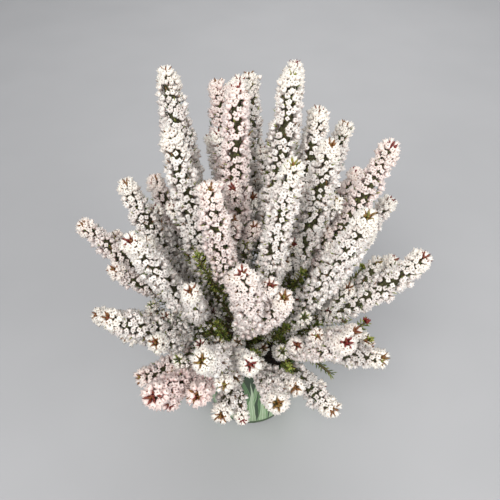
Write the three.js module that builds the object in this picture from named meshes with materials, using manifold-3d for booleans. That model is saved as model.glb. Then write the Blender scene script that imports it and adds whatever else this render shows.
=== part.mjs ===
// Potted cape heath: a small evergreen heath in its nursery pot, in full white flower.
// Three woody stems stand in the potting soil. Each swells into a burl just above it, and thin leafy shoots
// fan out from the burl. A shoot ends in a plume: a cylinder of small florets packed round the shoot,
// with a star of florets at its tip, and on the outer shoots with a side plume.
// Millimetres, +Z up. The origin is the middle of the pot's underside.

import * as THREE from "three";
import { mergeVertices } from "three/addons/utils/BufferGeometryUtils.js";
import Module from "manifold-3d";

const wasm = await Module();
wasm.setup();

// Pot
const POT_HEIGHT = 95;
const POT_TOP_RADIUS = 52.5;
const POT_FOOT_RADIUS = 38;
const POT_WALL = 1.6;
const POT_FLOOR = 2.4;
const POT_SIDES = 36;
const RIM_HEIGHT = 5;
const RIM_OVERHANG = 1.2;
const DRAIN_COUNT = 6;
const DRAIN_RADIUS = 4;
const DRAIN_CIRCLE = 25;
const DRAIN_SIDES = 8;

// Soil
const SEAT_GAP = 0.3;
const SOIL_SIDE_GAP = 0.6;
const SOIL_EDGE_HEIGHT = 86;
const SOIL_MOUND = 4;
const SOIL_LUMP = 1.1;
const SOIL_SIDES = 24;
const SOIL_RINGS = 4;

// Woody stems
const STEM_COUNT = 3;
const STEM_SIDES = 8;
const STEM_CIRCLE = 15;
const STEM_RADIUS = 3.4;
const STEM_LEAN = 6;
const STEM_FOOT_HEIGHT = 48;
const BURL_HEIGHT = 100;
const BURL_RADIUS = 6.5;
const BURL_TOP_RADIUS = 4;
const BURL_RISE = 5;

// Leafy shoots. The pull and the climb say how far a shoot keeps its first and its last direction.
const SHOOT_COLUMNS = 4;
const SHOOT_ROOT_RADIUS = 1.9;
const SHOOT_RADIUS = 1.3;
const SHOOT_PULL = 0.45;
const SHOOT_CLIMB = 0.5;
const BARE_PITCH = 27;
const NEEDLE_PITCH = 4.2;
const NEEDLE_REACH = 5;
const NEEDLE_RISE = 3;

// Flower plumes. Widths are shares of the full one, and the first places of a row are shares of a pitch.
const PLUME_COLUMNS = 8;
const PLUME_CORE = 0.66;
const PLUME_SEAT_RADIUS = 2.4;
const PLUME_FOOT_WIDTH = 0.6;
const PLUME_FOOT_TAPER = 3;
const PLUME_TIP_WIDTH = 0.62;
const PLUME_TIP_TAPER = 1.3;
const FLORET_PITCH = 10.3;
const FLORET_FIRST = 0.6;
const FLORET_RISE = 2.5;
const FLORET_SPREAD = 0.12;
const STAR_FIRST = 0.45;
const STAR_WIDTH = 0.6;
const STAR_RISE = 4;
const STAR_DEPTH = 1;

// Side plumes, as shares of their main plume's length and width
const SIDE_FROM = 0.05;
const SIDE_LENGTH = 0.66;
const SIDE_WIDTH = 0.82;
const SIDE_ANGLE = 30;
const SIDE_TIP_ANGLE = 12;

// The whorls of plumes, from the middle of the plant outwards. start is the radius and the height where
// a plume starts, and lean its angle from the vertical there and at its tip, in degrees.
const WHORLS = [
  { name: "crown", count: 3, start: [12, 190], lean: [6, 3], length: 132, width: 22, needleRows: 0 },
  { name: "inner", count: 8, start: [34, 168], lean: [14, 9], length: 130, width: 22, needleRows: 0 },
  { name: "middle", count: 8, start: [50, 149], lean: [27, 19], length: 118, width: 22, needleRows: 2 },
  { name: "outer", count: 9, start: [61, 130], lean: [45, 35], length: 95, width: 21, needleRows: 3 },
  { name: "low", count: 9, start: [63, 115], lean: [66, 50], length: 72, width: 20, needleRows: 3 },
  { name: "skirt", count: 9, start: [57, 106], lean: [90, 72], length: 52, width: 18, needleRows: 3 },
];
const FORKED_WHORLS = ["middle", "outer", "low"];
const GREEN_SHOOTS = { count: 9, start: [84, 100], lean: 98, needleRows: 7 };

// How far plumes of one whorl differ from each other, and the steps by which each difference is scattered
const AZIMUTH_SPREAD = 3.5;
const AZIMUTH_STEP = 0.618;
const LEAN_SPREAD = 3.5;
const LEAN_STEP = 0.755;
const HEIGHT_SPREAD = 4;
const HEIGHT_STEP = 0.414;
const LENGTH_SPREAD = 0.14;
const LENGTH_STEP = 0.57;
const SEED = 7;

const material = (color, roughness) => new THREE.MeshStandardMaterial({ color, roughness, metalness: 0 });
const POT_GREEN = material(0x7d9c74, 0.45);
const SOIL_BROWN = material(0x2b1f17, 0.95);
const LEAF_GREEN = material(0x5f7a2c, 0.7);
const FLORET_WHITE = material(0xece4e2, 0.6);

const plant = new THREE.Group();

// A repeatable random number from 0 to 1 (the mulberry32 generator).
function randomSource(seed) {
  let state = seed;
  return () => {
    state = (state + 0x6d2b79f5) | 0;
    let mixed = Math.imul(state ^ (state >>> 15), 1 | state);
    mixed = (mixed + Math.imul(mixed ^ (mixed >>> 7), 61 | mixed)) ^ mixed;
    return ((mixed ^ (mixed >>> 14)) >>> 0) / 4294967296;
  };
}
const random = randomSource(SEED);
const spread = (most) => (2 * random() - 1) * most;

// A number from -1 to 1 that is always the same for the same plume, and well scattered from one to the next.
const scatter = (index, step) => 2 * ((index * step) % 1) - 1;

const radians = THREE.MathUtils.degToRad;

// The unit vector at an azimuth and at a lean from the vertical, both in degrees.
function direction(azimuth, lean) {
  const outward = Math.sin(radians(lean));
  return new THREE.Vector3(
    outward * Math.cos(radians(azimuth)),
    outward * Math.sin(radians(azimuth)),
    Math.cos(radians(lean)),
  );
}

function atRadius(azimuth, radius, height) {
  return direction(azimuth, 90).multiplyScalar(radius).setZ(height);
}

function addPiece(name, geometry, look) {
  const mesh = new THREE.Mesh(geometry, look);
  mesh.name = name;
  plant.add(mesh);
  return mesh;
}

// A copy of a geometry with its positions alone, its shared vertices merged.
function merged(geometry) {
  const bare = new THREE.BufferGeometry();
  bare.setAttribute("position", geometry.getAttribute("position"));
  bare.setIndex(geometry.getIndex());
  return mergeVertices(bare, 1e-3);
}

// A closed geometry as a solid that can be joined and cut.
function toSolid(geometry) {
  const whole = merged(geometry);
  const vertProperties = new Float32Array(whole.getAttribute("position").array);
  const triVerts = new Uint32Array(whole.getIndex().array);
  return new wasm.Manifold(new wasm.Mesh({ numProp: 3, vertProperties, triVerts }));
}

// A solid's main body as a geometry. A pocket that the joining sealed is filled, and a loose scrap is dropped.
function toGeometry(solid) {
  const [main] = solid.decompose().sort((a, b) => b.volume() - a.volume());
  const { vertProperties, triVerts } = main.getMesh();
  const geometry = new THREE.BufferGeometry();
  geometry.setAttribute("position", new THREE.BufferAttribute(vertProperties, 3));
  geometry.setIndex(new THREE.BufferAttribute(triVerts, 1));
  geometry.computeVertexNormals();
  return geometry;
}

// A solid of revolution about Z, from [radius, height] pairs that run up the outside and close on the axis.
function turned(profile, sides) {
  const points = profile.map(([radius, height]) => new THREE.Vector2(radius, height));
  return new THREE.LatheGeometry(points, sides).rotateX(Math.PI / 2);
}

// The pot's outer radius at a height: it widens evenly from the foot to the underside of the rim.
function potRadius(height) {
  const topRadius = POT_TOP_RADIUS - RIM_OVERHANG;
  return THREE.MathUtils.lerp(POT_FOOT_RADIUS, topRadius, height / POT_HEIGHT);
}

// A thin moulded pot: flat foot with drain holes, plain tapered wall and a low rim that stands out a little.
function pot() {
  const rimFoot = POT_HEIGHT - RIM_HEIGHT;
  const wall = [
    [0, 0],
    [POT_FOOT_RADIUS, 0],
    [potRadius(rimFoot), rimFoot],
    [POT_TOP_RADIUS, rimFoot + RIM_OVERHANG],
    [POT_TOP_RADIUS, POT_HEIGHT],
    [potRadius(POT_HEIGHT) - POT_WALL, POT_HEIGHT],
    [potRadius(POT_FLOOR) - POT_WALL, POT_FLOOR],
    [0, POT_FLOOR],
  ];
  let shell = toSolid(turned(wall, POT_SIDES));
  const drillLength = 3 * POT_FLOOR;
  for (let i = 0; i < DRAIN_COUNT; i++) {
    const drill = new THREE.CylinderGeometry(DRAIN_RADIUS, DRAIN_RADIUS, drillLength, DRAIN_SIDES);
    const centre = atRadius((360 * i) / DRAIN_COUNT, DRAIN_CIRCLE, 0);
    shell = shell.subtract(toSolid(drill.rotateX(Math.PI / 2).translate(centre.x, centre.y, 0)));
  }
  addPiece("pot", toGeometry(shell), POT_GREEN);
}

// The root ball: it fills the pot to just under the rim, with a low mound of lumpy soil on top,
// and has one plain hole for each woody stem.
function soil() {
  const bottom = POT_FLOOR + SEAT_GAP;
  const edge = potRadius(SOIL_EDGE_HEIGHT) - POT_WALL - SOIL_SIDE_GAP;
  const profile = [[0, bottom], [potRadius(bottom) - POT_WALL - SOIL_SIDE_GAP, bottom]];
  for (let ring = 0; ring <= SOIL_RINGS; ring++) {
    const share = 1 - ring / SOIL_RINGS;
    profile.push([edge * share, SOIL_EDGE_HEIGHT + SOIL_MOUND * (1 - share ** 2)]);
  }
  const ball = merged(turned(profile, SOIL_SIDES));
  const position = ball.getAttribute("position");
  for (let i = 0; i < position.count; i++) {
    const isInsideTheEdge = position.getZ(i) > SOIL_EDGE_HEIGHT + SEAT_GAP;
    if (isInsideTheEdge) position.setZ(i, position.getZ(i) + spread(SOIL_LUMP));
  }
  let block = toSolid(ball);
  for (let i = 0; i < STEM_COUNT; i++) {
    const axis = stemAxis(i, SEAT_GAP);
    const hole = [plainRow(0, STEM_RADIUS + SEAT_GAP), plainRow(1, STEM_RADIUS + SEAT_GAP)];
    block = block.subtract(toSolid(studdedSkin(axis, hole, STEM_SIDES, 0)));
  }
  addPiece("soil", toGeometry(block), SOIL_BROWN);
}

// A curve's place and directions at a share of its length. The side direction keeps to the curve's own
// side vector, so that neighbouring rows don't twist against each other.
function frameAt(curve, share) {
  const tangent = curve.getTangentAt(share);
  const normal = curve.side.clone().addScaledVector(tangent, -curve.side.dot(tangent)).normalize();
  const binormal = tangent.clone().cross(normal);
  return { centre: curve.getPointAt(share), tangent, normal, binormal };
}

// A closed skin round a curve. Each row is a ring of vertices: every second one is a peak, which stands out
// to the row's peak radius and is pushed along the curve by rise, and those between lie at its valley radius.
// Each row is staggered against the last, as florets and needles are on a shoot. Both ends close
// on a middle point, at the far end endDepth below the last row.
function studdedSkin(curve, rows, columns, endDepth) {
  const frames = rows.map(({ at }) => frameAt(curve, at));
  const points = [];
  const faces = [];
  rows.forEach((row, j) => {
    const { centre, tangent, normal, binormal } = frames[j];
    for (let i = 0; i < columns; i++) {
      const isPeak = (i + j) % 2 === 0;
      const angle = (2 * Math.PI * i) / columns;
      const reach = isPeak ? row.peak * (1 + spread(row.ragged)) : row.valley;
      const point = centre.clone();
      point.addScaledVector(normal, Math.cos(angle) * reach);
      point.addScaledVector(binormal, Math.sin(angle) * reach);
      if (isPeak) point.addScaledVector(tangent, row.rise);
      points.push(point);
    }
  });
  for (let j = 0; j + 1 < rows.length; j++) {
    for (let i = 0; i < columns; i++) {
      const next = (i + 1) % columns;
      const [a, b] = [j * columns + i, j * columns + next];
      const [c, d] = [b + columns, a + columns];
      // The fold runs from valley to valley, so that each peak stands by itself.
      if ((i + j) % 2 === 0) faces.push(a, b, d, b, c, d);
      else faces.push(a, b, c, a, c, d);
    }
  }
  const first = frames[0];
  const last = frames[rows.length - 1];
  const lastRow = (rows.length - 1) * columns;
  const nearEnd = points.push(first.centre) - 1;
  const farEnd = points.push(last.centre.clone().addScaledVector(last.tangent, -endDepth)) - 1;
  for (let i = 0; i < columns; i++) {
    const next = (i + 1) % columns;
    faces.push(nearEnd, next, i);
    faces.push(farEnd, lastRow + i, lastRow + next);
  }
  const geometry = new THREE.BufferGeometry().setFromPoints(points);
  geometry.setIndex(faces);
  geometry.computeVertexNormals();
  return geometry;
}

function plainRow(at, radius) {
  return { at, valley: radius, peak: radius, rise: 0, ragged: 0 };
}

// A woody stem's axis, from a little below its foot, deep in the soil, to the middle of its burl.
function stemAxis(index, below) {
  const azimuth = (360 * index) / STEM_COUNT;
  const foot = atRadius(azimuth, STEM_CIRCLE, STEM_FOOT_HEIGHT);
  const heading = direction(azimuth, STEM_LEAN);
  const length = BURL_HEIGHT - STEM_FOOT_HEIGHT;
  const lowEnd = foot.clone().addScaledVector(heading, -below);
  const axis = new THREE.LineCurve3(lowEnd, foot.addScaledVector(heading, length));
  axis.side = direction(azimuth + 90, 90);
  return axis;
}

// Where each plume starts and how it leans, whorl by whorl. Every second whorl is turned by half a step.
function plannedPlumes() {
  const plumes = [];
  WHORLS.forEach(({ name, count, start, lean, length, width, needleRows }, ring) => {
    const [radius, height] = start;
    for (let i = 0; i < count; i++) {
      const index = plumes.length + 1;
      const halfStep = ring % 2 === 0 ? 0 : 0.5;
      const azimuth = (360 * (i + halfStep)) / count + AZIMUTH_SPREAD * scatter(index, AZIMUTH_STEP);
      const leanChange = LEAN_SPREAD * scatter(index, LEAN_STEP);
      plumes.push({
        name: `plume_${name}_${i + 1}`,
        start: atRadius(azimuth, radius, height + HEIGHT_SPREAD * scatter(index, HEIGHT_STEP)),
        azimuth,
        lean: lean[0] + leanChange,
        tipLean: lean[1] + leanChange,
        length: length * (1 + LENGTH_SPREAD * scatter(index, LENGTH_STEP)),
        width,
        needleRows,
        isForked: FORKED_WHORLS.includes(name),
      });
    }
  });
  return plumes;
}

// The leafy shoots without a plume, low down between the plumes of the skirt.
function plannedGreenShoots() {
  const { count, start: [radius, height], lean, needleRows } = GREEN_SHOOTS;
  return Array.from({ length: count }, (_, i) => {
    const azimuth = (360 * i) / count;
    return { azimuth, lean, start: atRadius(azimuth, radius, height), needleRows, leafyTip: true };
  });
}

// The plume's width along it, as a share of the full one: it fills out quickly from its foot,
// keeps its width, and narrows over its last third to a blunt tip.
function plumeShape(share) {
  const foot = Math.min(1, PLUME_FOOT_WIDTH + share * PLUME_FOOT_TAPER);
  const tip = Math.min(1, PLUME_TIP_WIDTH + (1 - share) * PLUME_TIP_TAPER);
  return foot * tip;
}

// The florets of one plume, on an axis of its own.
function floretPlume(curve, width) {
  const radius = width / 2;
  const count = Math.round(curve.getLength() / FLORET_PITCH);
  const rows = [plainRow(0, PLUME_SEAT_RADIUS)];
  for (let j = 1; j < count; j++) {
    const at = (j - 1 + FLORET_FIRST) / count;
    const peak = radius * plumeShape(at);
    rows.push({ at, valley: peak * PLUME_CORE, peak, rise: FLORET_RISE, ragged: FLORET_SPREAD });
  }
  const star = radius * STAR_WIDTH;
  const starAt = (count - 1 + STAR_FIRST) / count;
  rows.push({ at: starAt, valley: star * PLUME_CORE, peak: star, rise: STAR_RISE, ragged: 0 });
  return studdedSkin(curve, rows, PLUME_COLUMNS, STAR_DEPTH);
}

// A curve that starts at a point at one pair of angles and ends at another pair: bend is its angle from +Z
// towards +X and sway its angle towards +Y, in degrees.
function bentAxis(start, length, [bend, sway], [tipBend, tipSway]) {
  const heading = (b, s) => new THREE.Vector3(
    Math.sin(radians(b)) * Math.cos(radians(s)),
    Math.sin(radians(s)),
    Math.cos(radians(b)) * Math.cos(radians(s)),
  );
  const middle = start.clone().addScaledVector(heading(bend, sway), length / 2);
  const tip = middle.clone().addScaledVector(heading(tipBend, tipSway), length / 2);
  const curve = new THREE.QuadraticBezierCurve3(start, middle, tip);
  curve.side = new THREE.Vector3(0, 1, 0);
  return curve;
}

// A plume, with its side plume where it is forked. It is shaped standing on its own origin and bending in its
// X-Z plane, and then set on the end of its shoot.
function plume({ name, start, azimuth, lean, tipLean, length, width, isForked }) {
  const bend = tipLean - lean;
  const axis = bentAxis(new THREE.Vector3(), length, [0, 0], [bend, 0]);
  let geometry = floretPlume(axis, width);
  if (isForked) {
    const fork = axis.getPointAt(SIDE_FROM);
    const sideAxis = bentAxis(fork, length * SIDE_LENGTH, [0, SIDE_ANGLE], [bend, SIDE_TIP_ANGLE]);
    const side = floretPlume(sideAxis, width * SIDE_WIDTH);
    geometry = toGeometry(toSolid(geometry).add(toSolid(side)));
  }
  const mesh = addPiece(name, geometry, FLORET_WHITE);
  mesh.position.copy(start);
  mesh.rotation.set(0, radians(lean), radians(azimuth), "ZYX");
}

// A shoot from its burl to the foot of its plume, bare at first and set with needles at its end.
function shoot({ start, azimuth, lean, needleRows, leafyTip }, burl) {
  const heading = direction(azimuth, lean);
  const end = start.clone().addScaledVector(heading, -SEAT_GAP);
  const pull = end.distanceTo(burl) * SHOOT_PULL;
  const climb = Math.min(pull, Math.max(end.z - burl.z, 0) * SHOOT_CLIMB);
  const leave = burl.clone().setZ(burl.z + climb);
  const arrive = end.clone().addScaledVector(heading, -pull);
  const curve = new THREE.CubicBezierCurve3(burl, leave, arrive, end);
  curve.side = direction(azimuth + 90, 90);
  const length = curve.getLength();
  const bareShare = 1 - (needleRows * NEEDLE_PITCH + NEEDLE_REACH) / length;
  const bareCount = Math.max(2, Math.round((bareShare * length) / BARE_PITCH));
  const rows = [];
  for (let j = 0; j <= bareCount; j++) {
    const share = j / bareCount;
    rows.push(plainRow(share * bareShare, THREE.MathUtils.lerp(SHOOT_ROOT_RADIUS, SHOOT_RADIUS, share)));
  }
  for (let j = 1; j <= needleRows; j++) {
    const at = bareShare + (j * NEEDLE_PITCH) / length;
    rows.push({ at, valley: SHOOT_RADIUS, peak: NEEDLE_REACH, rise: NEEDLE_RISE, ragged: FLORET_SPREAD });
  }
  if (!leafyTip) rows.push(plainRow(1, SHOOT_RADIUS));
  return toSolid(studdedSkin(curve, rows, SHOOT_COLUMNS, leafyTip ? -NEEDLE_REACH : 0));
}

// The difference of two azimuths, from 0 to 180 degrees.
function apart(a, b) {
  return Math.abs(((((a - b) % 360) + 540) % 360) - 180);
}

// A woody stem with all the shoots that fan out from its burl, grown together.
function leafyStem(index, plans) {
  const azimuth = (360 * index) / STEM_COUNT;
  const own = plans.filter((plan) => apart(plan.azimuth, azimuth) <= 180 / STEM_COUNT);
  const axis = stemAxis(index, 0);
  const burlFoot = 1 - (2 * BURL_RISE) / axis.getLength();
  const burlMiddle = 1 - BURL_RISE / 2 / axis.getLength();
  const rows = [
    plainRow(0, STEM_RADIUS),
    plainRow(burlFoot, STEM_RADIUS),
    plainRow(burlMiddle, BURL_RADIUS),
    plainRow(1, BURL_TOP_RADIUS),
  ];
  const trunk = toSolid(studdedSkin(axis, rows, STEM_SIDES, -BURL_RISE / 2));
  const burl = axis.getPointAt(burlMiddle);
  const grown = own.reduce((body, plan) => body.add(shoot(plan, burl)), trunk);
  addPiece(`leafy_stem_${index + 1}`, toGeometry(grown), LEAF_GREEN);
}

const plumes = plannedPlumes();
const shoots = [...plumes, ...plannedGreenShoots()];

pot();
soil();
for (let i = 0; i < STEM_COUNT; i++) leafyStem(i, shoots);
plumes.forEach(plume);

export default plant;
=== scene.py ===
"""A potted cape heath in full flower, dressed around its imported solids: pot, soil, stems and plumes."""

import bmesh
import bpy
import numpy as np
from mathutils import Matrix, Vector


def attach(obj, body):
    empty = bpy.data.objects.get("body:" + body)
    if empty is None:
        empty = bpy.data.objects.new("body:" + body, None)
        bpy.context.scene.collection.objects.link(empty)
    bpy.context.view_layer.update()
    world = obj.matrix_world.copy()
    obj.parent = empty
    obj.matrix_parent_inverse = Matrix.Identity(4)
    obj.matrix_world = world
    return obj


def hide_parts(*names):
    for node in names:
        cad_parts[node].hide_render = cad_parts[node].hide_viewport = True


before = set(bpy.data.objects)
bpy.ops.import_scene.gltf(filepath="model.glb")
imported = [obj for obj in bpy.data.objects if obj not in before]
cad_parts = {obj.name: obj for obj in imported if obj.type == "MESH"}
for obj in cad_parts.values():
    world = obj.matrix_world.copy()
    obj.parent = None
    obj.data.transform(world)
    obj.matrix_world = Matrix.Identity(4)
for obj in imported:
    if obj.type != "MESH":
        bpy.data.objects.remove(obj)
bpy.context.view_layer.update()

# Camera
# It looks down on the plant from the front, as steeply as the photograph does and with nearly its width
# of view, and stands so far back that the plant fills the picture as the flowers fill the photograph.

VIEW_PITCH = 42.0
VIEW_LENS = 42.0
VIEW_SENSOR = 36.0
VIEW_DISTANCE = 0.450
VIEW_TARGET = Vector((0.0, 0.0, 0.184))

camera = bpy.data.objects.new("camera", bpy.data.cameras.new("camera"))
camera.data.lens = VIEW_LENS
camera.data.sensor_width = VIEW_SENSOR
camera.data.clip_start = 0.01
pitch = np.radians(VIEW_PITCH)
camera_way = Vector((0.0, -np.cos(pitch), np.sin(pitch)))
camera.location = VIEW_TARGET + camera_way * VIEW_DISTANCE
camera.rotation_euler = camera_way.to_track_quat("Z", "Y").to_euler()
bpy.context.collection.objects.link(camera)
bpy.context.scene.camera = camera

# Pot
# A thin nursery pot of moulded plastic: a plain tapered wall with a low rim and a flat foot with drain
# holes, printed all round with a pattern of upright leaf blades in greens before it is filled.

MM = 0.001
POT_HEIGHT = 95.0
POT_TOP_RADIUS = 52.5
POT_FOOT_RADIUS = 38.0
POT_WALL = 1.6
POT_FLOOR = 2.4
RIM_HEIGHT = 5.0
RIM_OVERHANG = 1.2
FOOT_RING_RADIUS = 30.0
FOOT_LIFT = 1.2
DRAIN_COUNT = 6
DRAIN_RADIUS = 4.0
DRAIN_CIRCLE = 25.0
FOOT_ROUNDING = 1.5
RIM_HOLLOW = 0.9
RIM_ROUNDING = 0.8
LIP_ROUNDING = 0.6
POT_SIDES = 144
ARC_STEPS = 4
SHARP_ANGLE = 35.0
BLADE_WIDTH = 0.42


class Wire:
    """The output of a shader node. Arithmetic on it adds Math nodes, and node() adds any other node."""

    def __init__(self, tree, socket=None):
        self.tree = tree
        self.socket = socket

    def node(self, kind, settings=None, inputs=None, output=0):
        """Adds a node of this type, with its settings first and then the values or wires of its
        sockets."""
        made = self.tree.nodes.new(kind)
        for name, value in (settings or {}).items():
            setattr(made, name, value)
        for name, value in (inputs or {}).items():
            if isinstance(value, Wire):
                self.tree.links.new(value.socket, made.inputs[name])
            else:
                made.inputs[name].default_value = value
        return Wire(self.tree, made.outputs[output] if made.outputs else None)

    def maths(self, operation, *values):
        return self.node("ShaderNodeMath", {"operation": operation}, dict(enumerate(values)))

    def __add__(self, other):
        return self.maths("ADD", self, other)

    def __sub__(self, other):
        return self.maths("SUBTRACT", self, other)

    def __rsub__(self, other):
        return self.maths("SUBTRACT", other, self)

    def __mul__(self, other):
        return self.maths("MULTIPLY", self, other)

    def __truediv__(self, other):
        return self.maths("DIVIDE", self, other)

    __radd__ = __add__
    __rmul__ = __mul__

    def sine(self):
        return self.maths("SINE", self)

    def size(self):
        return self.maths("ABSOLUTE", self)

    def fraction(self):
        return self.maths("FRACT", self)

    def rising(self, low, high):
        """0 below low, 1 above high, and a smooth step between."""
        settings = {"interpolation_type": "SMOOTHSTEP"}
        return self.node("ShaderNodeMapRange", settings, {"Value": self, "From Min": low, "From Max": high})

    def colours(self, low, high):
        """The colour low where this is 0 and high where it is 1."""
        inputs = {0: self, 6: low, 7: high}
        return self.node("ShaderNodeMix", {"data_type": "RGBA"}, inputs, output=2)


def colour(red, green, blue):
    return (red, green, blue, 1.0)


def new_material(name):
    """An empty node material, and a first wire to add its nodes with."""
    material = bpy.data.materials.new(name)
    material.use_nodes = True
    material.node_tree.nodes.clear()
    return material, Wire(material.node_tree)


def finish_material(wires, sockets):
    """Ends a material in one Principled shader with these sockets."""
    shader = wires.node("ShaderNodeBsdfPrincipled", inputs=sockets)
    wires.node("ShaderNodeOutputMaterial", inputs={"Surface": shader})


def noise(wires, scale, detail):
    """Noise over the object, of this many lumps a metre."""
    place = wires.node("ShaderNodeTexCoord", output=3)
    return wires.node("ShaderNodeTexNoise", inputs={"Vector": place, "Scale": scale, "Detail": detail})


def bumps(wires, height, distance, strength=1.0):
    return wires.node("ShaderNodeBump", inputs={"Height": height, "Distance": distance, "Strength": strength})


def joined(parts):
    """Several (vertices, faces, marks, material number) as one set of arrays: vertices, faces, marks,
    face materials."""
    starts = np.cumsum([0] + [len(part[0]) for part in parts[:-1]])
    vertices = np.concatenate([part[0] for part in parts])
    faces = np.concatenate([part[1] + start for part, start in zip(parts, starts)])
    marks = np.concatenate([part[2] for part in parts])
    slots = np.concatenate([np.full(len(part[1]), part[3]) for part in parts])
    return vertices, faces, marks, slots


def new_piece(name, parts, materials):
    """A mesh object of triangles in millimetres. Its points keep their four marks as the attribute named
    marks."""
    vertices, faces, marks, slots = joined(parts)
    mesh = bpy.data.meshes.new(name)
    mesh.vertices.add(len(vertices))
    mesh.vertices.foreach_set("co", (vertices * MM).astype(np.float32).ravel())
    mesh.loops.add(faces.size)
    mesh.loops.foreach_set("vertex_index", faces.astype(np.int32).ravel())
    mesh.polygons.add(len(faces))
    mesh.polygons.foreach_set("loop_start", np.arange(0, faces.size, 3, dtype=np.int32))
    mesh.polygons.foreach_set("material_index", slots.astype(np.int32))
    mesh.update(calc_edges=True)
    spread = mesh.attributes.new("marks", "FLOAT_COLOR", "POINT")
    spread.data.foreach_set("color", marks.astype(np.float32).ravel())
    mesh.shade_smooth()
    for material in materials:
        mesh.materials.append(material)
    piece = bpy.data.objects.new(name, mesh)
    bpy.context.collection.objects.link(piece)
    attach(piece, "root")
    return piece


def ring_faces(rings, sides, are_ends_closed=True):
    """Triangles between neighbouring rings of vertices, and fans to a first and a last middle point at
    the ends."""
    j, i = np.meshgrid(np.arange(rings - 1), np.arange(sides), indexing="ij")
    a, b = j * sides + i, j * sides + (i + 1) % sides
    band = np.stack([a, b, b + sides, a, b + sides, a + sides], axis=-1).reshape(-1, 3)
    if not are_ends_closed:
        return band
    around = np.arange(sides)
    after = (around + 1) % sides
    near, far, last = rings * sides, rings * sides + 1, (rings - 1) * sides
    near_fan = np.stack([np.full(sides, near), after, around], axis=-1)
    far_fan = np.stack([np.full(sides, far), last + around, last + after], axis=-1)
    return np.concatenate([band, near_fan, far_fan])


def arc(centre_radius, centre_height, size, first, last):
    """Points of a small rounding in the profile: a circle of this size, from one angle to the other in
    degrees."""
    angles = np.radians(np.linspace(first, last, ARC_STEPS))
    return np.stack([centre_radius + size * np.cos(angles), centre_height + size * np.sin(angles)], axis=-1)


def turned(profile, sides):
    """Each (radius, height) of the profile as a ring about Z, with bands of triangles between the
    rings."""
    angles = np.linspace(0, 2 * np.pi, sides, endpoint=False)
    radius, height = profile[:, :1], profile[:, 1:]
    rings = np.stack([radius * np.cos(angles), radius * np.sin(angles), height + 0 * angles], axis=-1)
    return rings.reshape(-1, 3), ring_faces(len(profile), sides, are_ends_closed=False)


def pierced_floor():
    """The floor inside the foot ring, both faces and the walls of its drain holes. Each hole lies in a
    sector of the floor, and each point of the sector's outline is joined to the point of the hole in the
    same direction."""
    half = np.pi / DRAIN_COUNT
    arc_angles = np.linspace(-half, half, POT_SIDES // DRAIN_COUNT + 1)
    shares = np.array([0.0, 0.25, 0.5, 0.75])
    ray = np.array([np.cos(half), np.sin(half)])
    outline = FOOT_RING_RADIUS * np.concatenate([
        shares[:, None] * ray * [1, -1],
        np.stack([np.cos(arc_angles), np.sin(arc_angles)], axis=-1),
        shares[:0:-1, None] * ray,
    ])
    centre = np.array([DRAIN_CIRCLE, 0])
    away = outline - centre
    hole = centre + DRAIN_RADIUS * away / np.linalg.norm(away, axis=1, keepdims=True)
    loops = [(outline, FOOT_LIFT), (hole, FOOT_LIFT), (hole, POT_FLOOR), (outline, POT_FLOOR)]
    sector = np.concatenate([np.column_stack([loop, np.full(len(loop), height)]) for loop, height in loops])
    faces = ring_faces(len(loops), len(outline), are_ends_closed=False)[:, ::-1]
    turns = np.arange(DRAIN_COUNT)[:, None] * 2 * half
    x = sector[:, 0] * np.cos(turns) - sector[:, 1] * np.sin(turns)
    y = sector[:, 0] * np.sin(turns) + sector[:, 1] * np.cos(turns)
    vertices = np.stack([x, y, sector[:, 2] + 0 * turns], axis=-1).reshape(-1, 3)
    shifts = np.arange(DRAIN_COUNT)[:, None, None] * len(sector)
    return vertices, (faces + shifts).reshape(-1, 3)


def pot_radius(height):
    """The wall's outer radius: it widens evenly from the foot to the top."""
    return POT_FOOT_RADIUS + (POT_TOP_RADIUS - RIM_OVERHANG - POT_FOOT_RADIUS) * height / POT_HEIGHT


def straight(first, last, steps):
    """Points along a straight stretch of the profile, without its first and last."""
    return np.linspace(first, last, steps + 2)[1:-1]


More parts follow.
